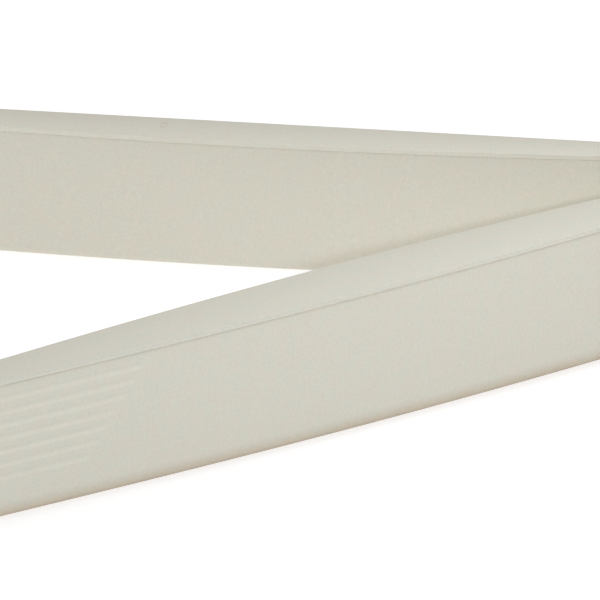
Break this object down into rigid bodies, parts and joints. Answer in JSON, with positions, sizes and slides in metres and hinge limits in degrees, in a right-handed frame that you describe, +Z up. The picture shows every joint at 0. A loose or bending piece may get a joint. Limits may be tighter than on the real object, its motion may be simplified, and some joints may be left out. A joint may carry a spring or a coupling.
{
  "type": "folding tree guard tube",
  "caption": "Folding tree guard tube: long bowed box-section sleeves with clip-on covers, joined end to end by a pinned hinge so they fold side by side or open in line.",
  "frame": {"origin": "centre of the flat foot under the upper section's hinge frame, on the ground", "axes": "+X along the upper section from its free end towards the hinge, +Y from the lower section's side towards the upper section's plain back wall, +Z up, out of the covers"},
  "size_m": [0.7815, 0.6286, 0.1015],
  "materials": {
    "shell_plastic": "matte warm grey, finely grained",
    "cover_plastic": "matte warm grey, finely grained",
    "frame_plastic": "matte, slightly darker than the sleeves",
    "pin_steel": "dull zinc-plated",
    "rivet_aluminium": "satin"
  },
  "bodies": {
    "upper_section": {"upper_sleeve": "shell_plastic", "upper_hinge_frame": "frame_plastic", "upper_end_frame": "frame_plastic", "upper_hinge_frame_rivet_1": "rivet_aluminium", "upper_hinge_frame_rivet_2": "rivet_aluminium", "upper_hinge_frame_rivet_3": "rivet_aluminium", "upper_hinge_frame_rivet_4": "rivet_aluminium", "upper_end_frame_rivet_1": "rivet_aluminium", "upper_end_frame_rivet_2": "rivet_aluminium", "upper_end_frame_rivet_3": "rivet_aluminium", "upper_end_frame_rivet_4": "rivet_aluminium", "hinge_pin": "pin_steel", "pin_clip": "pin_steel", "hinge_washer_1": "pin_steel", "hinge_washer_2": "pin_steel", "hinge_washer_3": "pin_steel", "hinge_washer_4": "pin_steel"},
    "lower_section": {"lower_sleeve": "shell_plastic", "lower_hinge_frame": "frame_plastic", "lower_end_frame": "frame_plastic", "lower_hinge_frame_rivet_1": "rivet_aluminium", "lower_hinge_frame_rivet_2": "rivet_aluminium", "lower_hinge_frame_rivet_3": "rivet_aluminium", "lower_hinge_frame_rivet_4": "rivet_aluminium", "lower_end_frame_rivet_1": "rivet_aluminium", "lower_end_frame_rivet_2": "rivet_aluminium", "lower_end_frame_rivet_3": "rivet_aluminium", "lower_end_frame_rivet_4": "rivet_aluminium"},
    "upper_lid": {"upper_cover": "cover_plastic"},
    "lower_lid": {"lower_cover": "cover_plastic"}
  },
  "joints": [
    {"name": "fold_hinge", "type": "hinge", "parent": "upper_section", "child": "lower_section", "pos_m": [0.009, -0.0175, 0], "axis": [0, 0, 1], "range_deg": [-42.5, 130.5]},
    {"name": "upper_cover_lift", "type": "slide", "parent": "upper_section", "child": "upper_lid", "axis": [0, 0, 1], "range_m": [0, 0.06]},
    {"name": "lower_cover_lift", "type": "slide", "parent": "lower_section", "child": "lower_lid", "axis": [0, 0, 1], "range_m": [0, 0.06]}
  ]
}
